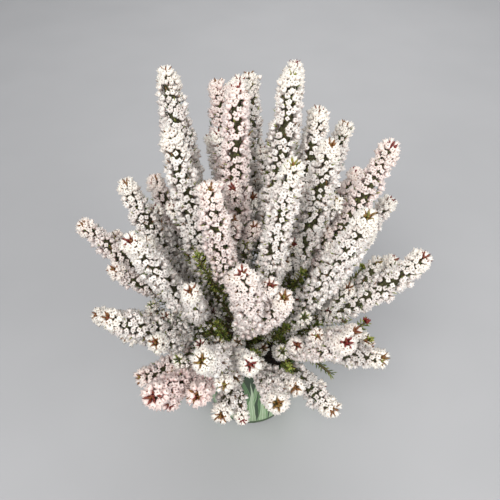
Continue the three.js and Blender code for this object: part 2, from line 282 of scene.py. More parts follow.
def pot_material():
    """Printed plastic: three layers of upright blades, each a band that tapers to its tip and leans its
    own way, with pale edges, over a dark green ground. The blades are worked out from the angle round the
    pot and the height on it, and are printed on the outside of the wall alone."""
    material, wires = new_material("printed pot")
    place = wires.node("ShaderNodeTexCoord", output=3)
    split = {"Vector": place}
    x = wires.node("ShaderNodeSeparateXYZ", inputs=split, output=0)
    y = wires.node("ShaderNodeSeparateXYZ", inputs=split, output=1)
    z = wires.node("ShaderNodeSeparateXYZ", inputs=split, output=2)
    turn = wires.maths("ARCTAN2", y, x) / (2 * np.pi)
    rise = z / (POT_HEIGHT * MM)
    waver = noise(wires, 40.0, 2.0) - 0.5
    ground = colour(0.018, 0.05, 0.016)
    layers = [
        (23, 0.8, 0.0, 1.10, colour(0.060, 0.150, 0.050), colour(0.14, 0.27, 0.11)),
        (19, -0.6, 0.37, 0.98, colour(0.13, 0.26, 0.10), colour(0.30, 0.44, 0.25)),
        (26, 0.3, 0.71, 0.88, colour(0.26, 0.40, 0.21), colour(0.52, 0.64, 0.45)),
    ]
    painted = ground
    for count, slant, shift, top, inner, edge in layers:
        across = (turn * count + rise * slant + waver * 0.35 + shift).fraction() - 0.5
        half_width = (top - rise) * BLADE_WIDTH
        blade = (half_width - across.size()).rising(0.0, 0.03)
        rib = 1.0 - across.size().rising(0.01, 0.05)
        rim = 1.0 - (half_width - across.size()).rising(0.03, 0.09)
        streak = ((across * 60.0).sine() * 0.5 + 0.5) * 0.35
        tint = wires.maths("MINIMUM", wires.maths("MAXIMUM", rib, rim) + streak, 1.0)
        painted = blade.colours(painted, tint.colours(inner, edge))
    plain = colour(0.035, 0.075, 0.022)
    radius = wires.maths("SQRT", x * x + y * y)
    inside = (POT_FOOT_RADIUS - POT_WALL / 2 + (POT_TOP_RADIUS - RIM_OVERHANG - POT_FOOT_RADIUS) * rise) * MM
    on_wall = rise.rising(0.045, 0.06) * (1.0 - rise.rising(0.925, 0.94))
    on_wall = on_wall * wires.maths("GREATER_THAN", radius, inside)
    scuff = noise(wires, 900.0, 4.0)
    grain = noise(wires, 3500.0, 2.0)
    dust = noise(wires, 60.0, 5.0).rising(0.52, 0.72) * (1.0 - rise.rising(0.0, 0.3)) * 0.4
    coloured = dust.colours(on_wall.colours(plain, painted), colour(0.13, 0.10, 0.07))
    finish_material(wires, {
        "Base Color": coloured,
        "Roughness": 0.34 + scuff * 0.22,
        "Normal": bumps(wires, grain, 0.00008, 0.5),
        "Coat Weight": 0.15,
        "Coat Roughness": 0.2,
    })
    return material


inner_top = pot_radius(POT_HEIGHT) - POT_WALL
rim_foot = POT_HEIGHT - RIM_HEIGHT
pot_profile = np.concatenate([
    [[FOOT_RING_RADIUS, FOOT_LIFT], [FOOT_RING_RADIUS + FOOT_LIFT, 0.0]],
    arc(POT_FOOT_RADIUS - FOOT_ROUNDING, FOOT_ROUNDING, FOOT_ROUNDING, -90, 0),
    straight([POT_FOOT_RADIUS, FOOT_ROUNDING], [pot_radius(rim_foot), rim_foot], 6),
    arc(pot_radius(rim_foot) + RIM_HOLLOW, rim_foot - 0.4, RIM_HOLLOW, 180, 100),
    arc(POT_TOP_RADIUS - RIM_ROUNDING, rim_foot + 1.2, RIM_ROUNDING, -60, 0),
    arc(POT_TOP_RADIUS - RIM_ROUNDING, POT_HEIGHT - RIM_ROUNDING, RIM_ROUNDING, 0, 90),
    arc(inner_top + LIP_ROUNDING, POT_HEIGHT - LIP_ROUNDING, LIP_ROUNDING, 90, 180),
    straight([inner_top, POT_HEIGHT - LIP_ROUNDING], [pot_radius(POT_FLOOR) - POT_WALL, POT_FLOOR], 2),
    [[pot_radius(POT_FLOOR) - POT_WALL, POT_FLOOR], [FOOT_RING_RADIUS, POT_FLOOR]],
])
pot_parts = [
    (vertices, faces, np.zeros((len(vertices), 4)), 0)
    for vertices, faces in [turned(pot_profile, POT_SIDES), pierced_floor()]
]
pot = new_piece("nursery_pot", pot_parts, [pot_material()])
seams = bmesh.new()
seams.from_mesh(pot.data)
bmesh.ops.remove_doubles(seams, verts=seams.verts, dist=0.01 * MM)
seams.to_mesh(pot.data)
seams.free()
pot.data.set_sharp_from_angle(angle=np.radians(SHARP_ANGLE))
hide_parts("pot")

# Soil
# Dark moist peat, pressed in round the roots to just under the rim: a crumbly mound with fibres and a few
# pale grains. It is one block in the pot, and loose crumbs lie on it.

SOIL_BOTTOM = 2.7
SOIL_EDGE_HEIGHT = 86.0
SOIL_MOUND = 4.0
SOIL_SIDE_GAP = 0.6
SOIL_SIDES = 132
SOIL_RINGS = 48
SOIL_WAVES = 90
CRUMB_COUNT = 520
CRUMB_SIZE = 1.0
CRUMB_SPREAD = 2.6

chance = np.random.default_rng(41)


def unit(vectors):
    return vectors / np.linalg.norm(vectors, axis=-1, keepdims=True)


def crumble(places):
    """Height of lumpy ground: the sum of seeded sine waves in all directions, each lower the shorter it
    is, in mm."""
    lengths = 3.0 + 22.0 * chance.random(SOIL_WAVES) ** 2
    ways = chance.random(SOIL_WAVES) * 2 * np.pi
    across = places[:, :1] * np.cos(ways) + places[:, 1:2] * np.sin(ways)
    waves = np.sin(2 * np.pi * across / lengths + chance.random(SOIL_WAVES) * 2 * np.pi)
    return (waves * lengths * 0.012).sum(axis=1)


def copies(shape, places, headings, spins, lengths, widths):
    """One copy of a small shape at each place. The shape's z runs along the heading, times the length,
    and its x and y across it, times half the width and turned by the spin. Gives all the vertices and
    faces."""
    vertices, faces = shape[:2]
    helper = np.where(np.abs(headings[:, 2:]) < 0.9, [[0.0, 0.0, 1.0]], [[1.0, 0.0, 0.0]])
    side = unit(np.cross(helper, headings))
    over = np.cross(headings, side)
    turned_side = np.cos(spins)[:, None] * side + np.sin(spins)[:, None] * over
    turned_over = np.cross(headings, turned_side)
    half = widths[:, None, None] / 2
    placed = places[:, None, :] + vertices[None, :, 2:] * headings[:, None, :] * lengths[:, None, None]
    placed = placed + half * vertices[None, :, :1] * turned_side[:, None, :]
    placed = placed + half * vertices[None, :, 1:2] * turned_over[:, None, :]
    shifts = np.arange(len(places))[:, None, None] * len(vertices)
    return placed.reshape(-1, 3), (faces[None] + shifts).reshape(-1, 3)


def crumb_shape():
    """A lump with eight faces, pointed at both ends."""
    ring = [[np.cos(a), np.sin(a), 0.5] for a in np.radians([0, 90, 180, 270])]
    i = np.arange(4)
    after = (i + 1) % 4
    low = np.stack([np.full(4, 4), after, i], axis=-1)
    high = np.stack([np.full(4, 5), i, after], axis=-1)
    return np.array(ring + [[0, 0, 0], [0, 0, 1]]), np.concatenate([low, high])


def soil_material():
    """Peat: near black where it is moist, brown where it has dried, with fine fibres and rare pale
    grains."""
    material, wires = new_material("peat")
    lumps = noise(wires, 420.0, 6.0)
    fibres = noise(wires, 1900.0, 3.0)
    grains = noise(wires, 1300.0, 1.0).rising(0.70, 0.74)
    damp = lumps.rising(0.35, 0.7).colours(colour(0.008, 0.006, 0.004), colour(0.040, 0.025, 0.016))
    fibrous = (fibres.rising(0.55, 0.8) * 0.6).colours(damp, colour(0.11, 0.075, 0.045))
    finish_material(wires, {
        "Base Color": (grains * 0.6).colours(fibrous, colour(0.30, 0.26, 0.20)),
        "Roughness": 0.98 - lumps * 0.2,
        "Normal": bumps(wires, lumps + fibres * 0.5, 0.0008),
    })
    return material


shares = np.linspace(1, 0.02, SOIL_RINGS)
soil_edge = pot_radius(SOIL_EDGE_HEIGHT) - POT_WALL - SOIL_SIDE_GAP
soil_top = np.stack([soil_edge * shares, SOIL_EDGE_HEIGHT + SOIL_MOUND * (1 - shares**2)], axis=-1)
soil_foot = [pot_radius(SOIL_BOTTOM) - POT_WALL - SOIL_SIDE_GAP, SOIL_BOTTOM]
soil_vertices, _ = turned(np.concatenate([[soil_foot], soil_top]), SOIL_SIDES)
soil_vertices = np.concatenate([soil_vertices, [[0, 0, SOIL_BOTTOM], [0, 0, SOIL_EDGE_HEIGHT + SOIL_MOUND]]])
soil_faces = ring_faces(SOIL_RINGS + 1, SOIL_SIDES)
is_on_top = soil_vertices[:, 2] > SOIL_EDGE_HEIGHT - 1
soil_vertices[is_on_top, 2] += crumble(soil_vertices[is_on_top]) * 0.9 - 0.8
crumb_way = chance.random(CRUMB_COUNT) * 2 * np.pi
crumb_out = np.sqrt(chance.random(CRUMB_COUNT)) * (soil_edge - 3)
crumb_places = np.stack([np.cos(crumb_way), np.sin(crumb_way), 0 * crumb_way], axis=-1) * crumb_out[:, None]
crumb_places[:, 2] = SOIL_EDGE_HEIGHT - 1.2 + SOIL_MOUND * (1 - (crumb_out / soil_edge) ** 2)
crumb_headings = unit(chance.normal(size=(CRUMB_COUNT, 3)))
crumb_sizes = CRUMB_SIZE + CRUMB_SPREAD * chance.random(CRUMB_COUNT) ** 3
crumb_widths = crumb_sizes * (0.7 + 0.5 * chance.random(CRUMB_COUNT))
crumb_vertices, crumb_faces = copies(
    crumb_shape(), crumb_places, crumb_headings, crumb_way, crumb_sizes, crumb_widths
)
soil_parts = [
    (soil_vertices, soil_faces, np.zeros((len(soil_vertices), 4)), 0),
    (crumb_vertices, crumb_faces, np.zeros((len(crumb_vertices), 4)), 0),
]
soil = new_piece("peat_soil", soil_parts, [soil_material()])
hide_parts("soil")

# Woody stems and leafy shoots
# Three woody stems stand in the soil, and each swells into a burl from which thin shoots fan out. The
# wood is brown below and turns green and red-brown on the young shoots, which are set with short needle
# leaves in whorls of four.

STEM_COUNT = 3
STEM_CIRCLE = 15.0
STEM_RADIUS = 3.4
STEM_LEAN = 6.0
STEM_FOOT_HEIGHT = 48.0
BURL_HEIGHT = 100.0
BURL_RADIUS = 6.5
BURL_SHARE = 0.95
SWELL_SHARE = 0.93
SWELL_LENGTH = 0.05
STEM_RINGS = 34
STEM_SIDES = 14
SHOOT_ROOT_RADIUS = 1.9
SHOOT_RADIUS = 1.1
SHOOT_PULL = 0.45
SHOOT_CLIMB = 0.5
SHOOT_RINGS = 16
SHOOT_SIDES = 6
SEAT_GAP = 0.3
NEEDLE_LENGTH = 5.2
NEEDLE_WIDTH = 1.1
NEEDLE_LIFT = 38.0
NEEDLES_A_WHORL = 4
NEEDLES_FROM = 0.42
NEEDLE_PITCH = 2.5
GREEN_NEEDLES_FROM = 0.3
GREEN_NEEDLE_PITCH = 1.9

# The whorls of plumes from the middle outwards: name, count, radius and height of their feet, lean there
# and at the tip in degrees, length, width. A forked one has a side plume.
WHORLS = [
    ("crown", 3, 12, 190, 6, 3, 132, 22, False),
    ("inner", 8, 34, 168, 14, 9, 130, 22, False),
    ("middle", 8, 50, 149, 27, 19, 118, 22, True),
    ("outer", 9, 61, 130, 45, 35, 95, 21, True),
    ("low", 9, 63, 115, 66, 50, 72, 20, True),
    ("skirt", 9, 57, 106, 90, 72, 52, 18, False),
]
GREEN_SHOOT_COUNT = 9
GREEN_SHOOT_RADIUS = 84.0
GREEN_SHOOT_HEIGHT = 100.0
GREEN_SHOOT_LEAN = 98.0
AZIMUTH_SPREAD = 3.5
LEAN_SPREAD = 3.5
HEIGHT_SPREAD = 4.0
LENGTH_SPREAD = 0.14


def scatter(index, step):
    """From -1 to 1, always the same for one plume and well scattered from one to the next."""
    return 2 * ((index * step) % 1) - 1


def heading(azimuth, lean):
    """The unit vector at an azimuth and at a lean from the vertical, in degrees."""
    a, b = np.radians(azimuth), np.radians(lean)
    return np.array([np.sin(b) * np.cos(a), np.sin(b) * np.sin(a), np.cos(b)])


def at_radius(azimuth, radius, height):
    return heading(azimuth, 90) * radius + np.array([0, 0, height])


def planned_plumes():
    """Where each plume starts, how it leans and how long it is, whorl by whorl."""
    plumes = []
    for ring, (name, count, radius, height, lean, tip_lean, length, width, is_forked) in enumerate(WHORLS):
        for i in range(count):
            index = len(plumes) + 1
            azimuth = 360 * (i + 0.5 * (ring % 2)) / count + AZIMUTH_SPREAD * scatter(index, 0.618)
            lean_change = LEAN_SPREAD * scatter(index, 0.755)
            plumes.append({
                "node": f"plume_{name}_{i + 1}",
                "azimuth": azimuth,
                "lean": lean + lean_change,
                "tip_lean": tip_lean + lean_change,
                "length": length * (1 + LENGTH_SPREAD * scatter(index, 0.57)),
                "width": width,
                "start": at_radius(azimuth, radius, height + HEIGHT_SPREAD * scatter(index, 0.414)),
                "is_forked": is_forked,
            })
    return plumes


def along_curve(controls, places):
    """Points and unit tangents of the Bezier curve of these control points, at each share of it:
    neighbouring points are blended by the share, again and again, until two are left, which give the
    point and the tangent."""
    points = np.asarray(controls)[:, None, :] + np.zeros((1, len(places), 1))
    share = places[None, :, None]
    while len(points) > 2:
        points = points[:-1] * (1 - share) + points[1:] * share
    tangents = unit(points[1] - points[0])
    return points[0] * (1 - share[0]) + points[1] * share[0], tangents


def across_curve(tangents, side):
    """The two unit vectors square to each tangent, the first as near to the side vector as it can be."""
    first = unit(side - (tangents @ side)[:, None] * tangents)
    return first, np.cross(tangents, first)


def curve_length(controls):
    points, _ = along_curve(controls, np.linspace(0, 1, 40))
    return np.linalg.norm(np.diff(points, axis=0), axis=1).sum()


def tube(controls, side, radii):
    """A closed tube round a curve. radii holds one row for each ring, with the radius at each vertex of
    the ring."""
    rings, sides = radii.shape
    points, tangents = along_curve(controls, np.linspace(0, 1, rings))
    first, second = across_curve(tangents, side)
    angles = np.linspace(0, 2 * np.pi, sides, endpoint=False)
    spokes = np.cos(angles)[None, :, None] * first[:, None] + np.sin(angles)[None, :, None] * second[:, None]
    vertices = points[:, None] + spokes * radii[:, :, None]
    return np.concatenate([vertices.reshape(-1, 3), points[:1], points[-1:]]), ring_faces(rings, sides)


def stem_axis(azimuth):
    """The foot and the top of the woody stem at this azimuth, and the middle of its burl."""
    foot = at_radius(azimuth, STEM_CIRCLE, STEM_FOOT_HEIGHT)
    rise = heading(azimuth, STEM_LEAN) * (BURL_HEIGHT - STEM_FOOT_HEIGHT)
    return np.array([foot, foot + rise]), foot + rise * BURL_SHARE


def shoot_curve(start, azimuth, lean, burl):
    """The four control points of a shoot: up from the burl, and in along the heading of what it
    carries."""
    way = heading(azimuth, lean)
    end = start - way * SEAT_GAP
    pull = np.linalg.norm(end - burl) * SHOOT_PULL
    climb = min(pull, max(end[2] - burl[2], 0) * SHOOT_CLIMB)
    return np.array([burl, burl + [0, 0, climb], end - way * pull, end])


def apart(first, second):
    """The difference of two azimuths, from 0 to 180 degrees."""
    return abs((first - second + 180) % 360 - 180)


def needle_shape():
    """A leaf with three flat sides, widest past its middle, with a blunt point: of length 1 and half
    width 1."""
    angles = np.radians([90, 210, 330])
    ring = np.stack([np.cos(angles), np.sin(angles)], axis=-1)
    base = np.column_stack([ring * 0.45, np.zeros(3)])
    belly = np.column_stack([ring, np.full(3, 0.62)])
    i, after = np.arange(3), (np.arange(3) + 1) % 3
    band = np.concatenate([np.stack([i, after, after + 3], -1), np.stack([i, after + 3, i + 3], -1)])
    tip = np.stack([i + 3, after + 3, np.full(3, 6)], -1)
    vertices = np.concatenate([base, belly, [[0, 0, 1.0]]])
    return vertices, np.concatenate([[[2, 1, 0]], band, tip]), vertices[:, 2]


def marked_copies(shape, places, ways, turns, lengths, widths, marks, number):
    """A part made of copies of a shape, with its marks: how far along its copy a point is, by the shape's
    own third array, and the three values given for each whole copy."""
    vertices, faces = copies(shape, places, ways, turns, lengths, widths)
    whole = np.repeat(np.column_stack(marks), len(shape[0]), axis=0)
    return vertices, faces, np.column_stack([np.tile(shape[2], len(places)), whole]), number


def needles(controls, side, first, last, pitch, length, redness, number):
    """Needle leaves in whorls along a curve, from one share of it to another. Each whorl is turned half a
    step against the last, and each leaf leans forward and a little out of line."""
    reach = curve_length(controls) * (last - first)
    whorls = max(2, int(reach / pitch))
    shares = np.repeat(np.linspace(first, last, whorls), NEEDLES_A_WHORL)
    turns = np.arange(whorls * NEEDLES_A_WHORL) * (2 * np.pi / NEEDLES_A_WHORL)
    turns = turns + np.repeat(np.arange(whorls), NEEDLES_A_WHORL) * np.pi / NEEDLES_A_WHORL
    count = len(shares)
    turns = turns + chance.normal(0, 0.25, count)
    points, tangents = along_curve(controls, shares)
    one, other = across_curve(tangents, side)
    out = np.cos(turns)[:, None] * one + np.sin(turns)[:, None] * other
    lift = np.radians(chance.normal(NEEDLE_LIFT, 12, count))[:, None]
    ways = unit(np.cos(lift) * out + np.sin(lift) * tangents)
    lengths = length * (0.75 + 0.45 * chance.random(count))
    widths = np.full(count, NEEDLE_WIDTH)
    marks = [chance.random(count), shares, np.full(count, redness)]
    return marked_copies(needle_shape(), points + out * 0.5, ways, turns, lengths, widths, marks, number)


def marks_of(wires):
    """The four marks of a point: how far along its leaf or floret, its tone, its share of the shoot, and
    a fourth."""
    spread = wires.node("ShaderNodeAttribute", {"attribute_name": "marks"}, output=0)
    parts = [wires.node("ShaderNodeSeparateColor", inputs={"Color": spread}, output=i) for i in range(3)]
    return [*parts, wires.node("ShaderNodeAttribute", {"attribute_name": "marks"}, output=3)]


def wood_material():
    """Bark: grey-brown and rough on the old stems, red-brown to green and smoother out on the young
    shoots."""
    material, wires = new_material("heath bark")
    _, _, age, _ = marks_of(wires)
    flakes = noise(wires, 900.0, 5.0)
    old = flakes.rising(0.35, 0.65).colours(colour(0.035, 0.022, 0.015), colour(0.14, 0.10, 0.07))
    young = flakes.rising(0.3, 0.7).colours(colour(0.085, 0.045, 0.022), colour(0.10, 0.11, 0.035))
    finish_material(wires, {
        "Base Color": age.rising(0.25, 0.75).colours(old, young),
        "Roughness": 0.9 - age * 0.25,
        "Normal": bumps(wires, flakes, 0.0004),
    })
    return material


def leaf_material():
    """Needle leaves: fresh green with an olive and yellow spread, paler at their points. Where the fourth
    mark is high, they are the brown to dark red leaves of a shoot's growing tip."""
    material, wires = new_material("heath needles")
    along, tone, _, redness = marks_of(wires)
    green = tone.rising(0.1, 0.9).colours(colour(0.055, 0.10, 0.014), colour(0.25, 0.29, 0.04))
    pointed = (along.rising(0.6, 1.0) * 0.55).colours(green, colour(0.46, 0.47, 0.12))
    brown = redness.rising(0.2, 0.55).colours(pointed, colour(0.20, 0.085, 0.02))
    red = redness.rising(0.65, 1.0).colours(brown, colour(0.17, 0.016, 0.014))
    patchy = noise(wires, 700.0, 2.0)
    finish_material(wires, {
        "Base Color": red,
        "Roughness": 0.42 + patchy * 0.2,
        "Normal": bumps(wires, patchy, 0.0002, 0.5),
        "Subsurface Weight": 0.12,
        "Subsurface Scale": 0.001,
    })
    return material


bark = wood_material()
leaf = leaf_material()
plumes = planned_plumes()
green_shoots = [
    {"azimuth": a, "lean": GREEN_SHOOT_LEAN, "start": at_radius(a, GREEN_SHOOT_RADIUS, GREEN_SHOOT_HEIGHT)}
    for a in np.linspace(0, 360, GREEN_SHOOT_COUNT, endpoint=False)
]
for index in range(STEM_COUNT):
    azimuth = 360 * index / STEM_COUNT
    axis, burl = stem_axis(azimuth)
    height = np.linspace(0, 1, STEM_RINGS)
    swell = np.exp(-(((height - SWELL_SHARE) / SWELL_LENGTH) ** 2))
    radius = STEM_RADIUS + (BURL_RADIUS - STEM_RADIUS) * swell
    around = np.linspace(0, 2 * np.pi, STEM_SIDES, endpoint=False)
    knots = 1 + 0.10 * np.sin(3 * around[None] + 9 * height[:, None])
    vertices, faces = tube(axis, heading(azimuth + 90, 90), radius[:, None] * knots)
    parts = [(vertices, faces, np.zeros((len(vertices), 4)), 0)]
    for plan in plumes + green_shoots:
        if apart(plan["azimuth"], azimuth) > 180 / STEM_COUNT:
            continue
        controls = shoot_curve(plan["start"], plan["azimuth"], plan["lean"], burl)
        side = heading(plan["azimuth"] + 90, 90)
        is_green = "node" not in plan
        ring = np.linspace(0, 1, SHOOT_RINGS)
        radii = SHOOT_ROOT_RADIUS + (SHOOT_RADIUS - SHOOT_ROOT_RADIUS) * ring
        vertices, faces = tube(controls, side, radii[:, None] * np.ones((1, SHOOT_SIDES)))
        shares = np.concatenate([np.repeat(ring, SHOOT_SIDES), [0.0, 1.0]])
        marks = np.stack([0 * shares, 0 * shares, shares, 0 * shares], axis=-1)
        parts.append((vertices, faces, marks, 0))
        first = GREEN_NEEDLES_FROM if is_green else NEEDLES_FROM
        pitch = GREEN_NEEDLE_PITCH if is_green else NEEDLE_PITCH
        parts.append(needles(controls, side, first, 1.0, pitch, NEEDLE_LENGTH, 0.0, 1))
    stem = new_piece(f"heath_stem_{index + 1}", parts, [bark, leaf])
    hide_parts(f"leafy_stem_{index + 1}")

# Flower plumes
# Each shoot ends in a plume: hundreds of small bell florets, papery and white, packed in a spiral round
# the shoot with leaves between. Towards the calyx each floret is darkened to rose-grey by painted shade,
# with a real blush there on the rosier plumes. A star of longer florets closes the tip round a tuft of
# new leaves.

FLORET_LENGTH = 5.9
FLORET_WIDTH = 4.35
FLORET_SPACING = 4.4
FLORET_PACKING = 0.82
FLORET_LIFT = 18.0
FLORET_TIP_LIFT = 42.0
FLORETS_A_LEAF = 2
LEAFLET_LENGTH = 4.8
LEAFLET_WIDTH = 1.3
LEAFLET_LIFT = 40.0
RED_LEAFLETS = 0.25
FOOT_LEAF_PITCH = 3.2
FOOT_LEAF_SHARE = 0.34
SPARSE_SHARE = 0.42
SPARSE_KEPT = 0.4
PINK_PLUME = "plume_low_7"
PINK_SIZE = 1.2
GOLDEN_TURN = np.pi * (3 - 5**0.5)
STAR_INNER = 6
STAR_OUTER = 8
STAR_LENGTH = 7.0
STAR_WIDTH = 3.9
STAR_SEAT = 1.4
STAR_SEAT_OPEN = 2.6
ARM_LENGTH = 6.6
ARM_WIDTH = 1.8
TUFT_COUNT = 9
TUFT_LENGTH = 4.4
TUFT_LEAF_WIDTH = 1.9
CORE_SHARE = 0.40
CORE_SIDES = 6
CORE_RING_PITCH = 4.0
SIDE_FROM = 0.05
SIDE_LENGTH = 0.66
SIDE_WIDTH = 0.82
SIDE_ANGLE = 30.0
SIDE_TIP_ANGLE = 12.0
BRANCHLET_PLACES = (0.16, 0.42)
BRANCHLET_LENGTH = 26.0
BRANCHLET_WIDTH = 13.0
BRANCHLET_SPACING = 4.2
BRANCHLET_SIZE = 0.85
BRANCHLET_OPENNESS = 0.4
BRANCHLET_LIFT = 62.0
SHORT_PLUME = 80.0
MOUTH_MARK = 1.5


def plume_shape(share):
    """The plume's width as a share of the full one: it fills out quickly, keeps its width, and narrows at
    last."""
    foot = np.minimum(1, 0.6 + share * 3)
    tip = np.minimum(1, 0.62 + (1 - share) * 1.3)
    return foot * tip


def floret_shape(sides):
    """A bell that widens from a point to its belly and opens in a mouth of spread lobes, one at every
    second side, round a sunken middle: two rings of points between two middle points, of length 1 and
    half width 1."""
    m, after = np.arange(sides), (np.arange(sides) + 1) % sides
    around = 2 * np.pi * m / sides
    spokes = np.stack([np.cos(around), np.sin(around)], axis=-1)
    is_lobe = m % 2 == 0
    belly = np.column_stack([spokes * np.where(is_lobe, 0.92, 0.80)[:, None], np.full(sides, 0.50)])
    mouth = np.column_stack([spokes * np.where(is_lobe, 1.0, 0.48)[:, None], np.where(is_lobe, 0.95, 0.84)])
    vertices = np.concatenate([[[0, 0, 0]], belly, mouth, [[0, 0, 0.66]]])
    low, high, middle = 1, 1 + sides, 1 + 2 * sides
    faces = np.concatenate([
        np.stack([0 * m, low + after, low + m], axis=-1),
        np.stack([low + m, low + after, high + after], axis=-1),
        np.stack([low + m, high + after, high + m], axis=-1),
        np.stack([high + m, high + after, 0 * m + middle], axis=-1),
    ])
    along = np.append(vertices[:-1, 2], MOUTH_MARK)
    return vertices, faces, along


def leaflet_shape():
    """A thin leaf as a long three-sided spike, of length 1 and half width 1."""
    angles = np.radians([90, 210, 330])
    base = np.stack([np.cos(angles), np.sin(angles), 0 * angles], axis=-1)
    vertices = np.concatenate([base, [[0, 0, 1.0]]])
    return vertices, np.array([[2, 1, 0], [0, 1, 3], [1, 2, 3], [2, 0, 3]]), vertices[:, 2]


def bent_axis(plan, start, length, sway, tip_sway):
    """Three control points of an axis that leaves at the plume's lean and ends at its tip's, swayed
    sideways, with a small chance bend of its own."""
    over = heading(plan["azimuth"] + 90, 90)
    ways = [
        np.cos(np.radians(s)) * heading(plan["azimuth"], lean) + np.sin(np.radians(s)) * over
        for lean, s in [(plan["lean"], sway), (plan["tip_lean"], tip_sway)]
    ]
    middle = start + ways[0] * length / 2
    end = middle + ways[1] * length / 2
    bend = over * chance.normal(0, 0.03) * length
    return np.array([start, middle + bend, end + chance.normal(0, 0.012, 3) * length])


def spoke_ways(controls, side, shares, turns, lifts):
    """At each share of a curve: its point, the unit vector out from it at this turn, and the heading of
    what stands there, lifted from that vector towards the tip by this many degrees."""
    points, tangents = along_curve(controls, np.clip(shares, 0, 1))
    one, other = across_curve(tangents, side)
    out = np.cos(turns)[:, None] * one + np.sin(turns)[:, None] * other
    lifted = np.radians(lifts)[:, None]
    return points, out, unit(np.cos(lifted) * out + np.sin(lifted) * tangents)


def florets(controls, side, width, blush, spacing, size, bell):
    """Florets round an axis, the next always a golden angle further round and a little further along, so
    that they lie evenly, with leaves between them. Some are missing towards the plume's foot. They lean
    forward more towards the tip, and their mouths reach about the plume's width, in loose bunches."""
    length = curve_length(controls)
    places_in_all = int(length * np.pi * width * FLORET_PACKING / spacing**2)
    step = np.arange(places_in_all)
    filled = SPARSE_KEPT + (1 - SPARSE_KEPT) * step / places_in_all / SPARSE_SHARE
    step = step[chance.random(places_in_all) < filled]
    count = len(step)
    shares = (step + 0.5) / places_in_all * 0.985
    shares = shares + chance.normal(0, 0.10, count) * spacing / length
    turns = step * GOLDEN_TURN + chance.normal(0, 0.12, count)
    lifts = FLORET_LIFT + FLORET_TIP_LIFT * shares**4 + chance.normal(0, 13, count)
    points, out, ways = spoke_ways(controls, side, shares, turns, lifts)
    ways = unit(ways + chance.normal(0, 0.14, (count, 3)))
    sizes = size * (0.74 + 0.40 * chance.random(count))
    lengths = FLORET_LENGTH * sizes
    bunches = np.sin(shares * length / 2.3 + turns) + np.sin(shares * length / 4.1 - 2 * turns)
    ends = width / 2 * plume_shape(shares) * (0.96 + 0.06 * bunches + chance.normal(0, 0.08, count))
    roots = np.maximum(ends - lengths * np.cos(np.radians(lifts)), 0.4)
    marks = [chance.random(count), shares, np.full(count, blush)]
    places = points + out * roots[:, None]
    bells = marked_copies(bell, places, ways, turns, lengths, FLORET_WIDTH * sizes, marks, 0)
    leafy = np.arange(0, count, FLORETS_A_LEAF)
    leaf_lifts = LEAFLET_LIFT + chance.normal(0, 15, len(leafy))
    points, out, ways = spoke_ways(controls, side, shares[leafy], turns[leafy] + GOLDEN_TURN / 2, leaf_lifts)
    leaf_lengths = LEAFLET_LENGTH * sizes[leafy]
    reach = ends[leafy] - 0.1 - leaf_lengths * np.cos(np.radians(leaf_lifts))
    leaf_marks = [chance.random(len(leafy)), shares[leafy], 0.5 * (chance.random(len(leafy)) < RED_LEAFLETS)]
    places = points + out * np.maximum(reach, 0.5)[:, None]
    widths = np.full(len(leafy), LEAFLET_WIDTH)
    leaves = marked_copies(leaflet_shape(), places, ways, turns[leafy], leaf_lengths, widths, leaf_marks, 2)
    return [bells, leaves]


def star(controls, side, openness, blush, size, redness, bell):
    """The florets that close the tip, an inner whorl and a lower one, each more open on a plume that
    leans out, and the new leaves that lie between the inner ones like the arms of a dark star."""
    turns = np.concatenate([np.arange(n) * 2 * np.pi / n for n in (STAR_INNER, STAR_OUTER)])
    count = len(turns)
    is_inner = np.arange(count) < STAR_INNER
    lifts = np.where(is_inner, 65 - 21 * openness, 44 - 38 * openness) + chance.normal(0, 6, count)
    length = curve_length(controls)
    shares = 1 - np.where(is_inner, 1.2, 4.2) * size / length
    points, out, ways = spoke_ways(controls, side, shares, turns + chance.normal(0, 0.08, count), lifts)
    lengths = STAR_LENGTH * size * (0.88 + 0.22 * chance.random(count))
    widths = STAR_WIDTH * size * (0.88 + 0.22 * chance.random(count))
    marks = [chance.random(count) * 0.4, np.ones(count), np.full(count, blush)]
    seats = (STAR_SEAT + (STAR_SEAT_OPEN - STAR_SEAT) * openness) * size
    bells = marked_copies(bell, points + out * seats, ways, turns, lengths, widths, marks, 0)
    arm_turns = turns[is_inner] + np.pi / STAR_INNER
    arm_lifts = 56 - 20 * openness + chance.normal(0, 6, STAR_INNER)
    points, out, ways = spoke_ways(controls, side, np.ones(STAR_INNER), arm_turns, arm_lifts)
    lengths = ARM_LENGTH * size * (0.8 + 0.3 * chance.random(STAR_INNER))
    marks = [chance.random(STAR_INNER), np.ones(STAR_INNER), np.full(STAR_INNER, redness)]
    widths = np.full(STAR_INNER, ARM_WIDTH * size)
    arms = marked_copies(needle_shape(), points + out * 0.6, ways, arm_turns, lengths, widths, marks, 2)
    return [bells, arms]


def tuft(point, way, count, length, spread, redness):
    """Small leaves that stand up together from a point, spread round a direction."""
    ways = unit(way + chance.normal(0, spread, (count, 3)))
    places = point + ways * 0.6
    turns = chance.random(count) * 2 * np.pi
    lengths = length * (0.7 + 0.5 * chance.random(count))
    marks = [chance.random(count), 0 * turns, redness + chance.normal(0, 0.15, count)]
    widths = np.full(count, TUFT_LEAF_WIDTH)
    return marked_copies(needle_shape(), places, ways, turns, lengths, widths, marks, 2)


def core(controls, side, width):
    """The shoot inside a plume with the calyxes and small leaves round it, as a knobbly dark rod."""
    rings = max(4, int(curve_length(controls) / CORE_RING_PITCH))
    shares = np.linspace(0, 1, rings)
    knobs = np.where((np.arange(rings)[:, None] + np.arange(CORE_SIDES)[None]) % 2 == 0, 1.15, 0.85)
    filled = np.minimum(1, 0.3 + 0.7 * shares / SPARSE_SHARE)
    radii = width / 2 * CORE_SHARE * (plume_shape(shares) * filled)[:, None] * knobs
    vertices, faces = tube(controls, side, radii)
    return vertices, faces, np.zeros((len(vertices), 4)), 1


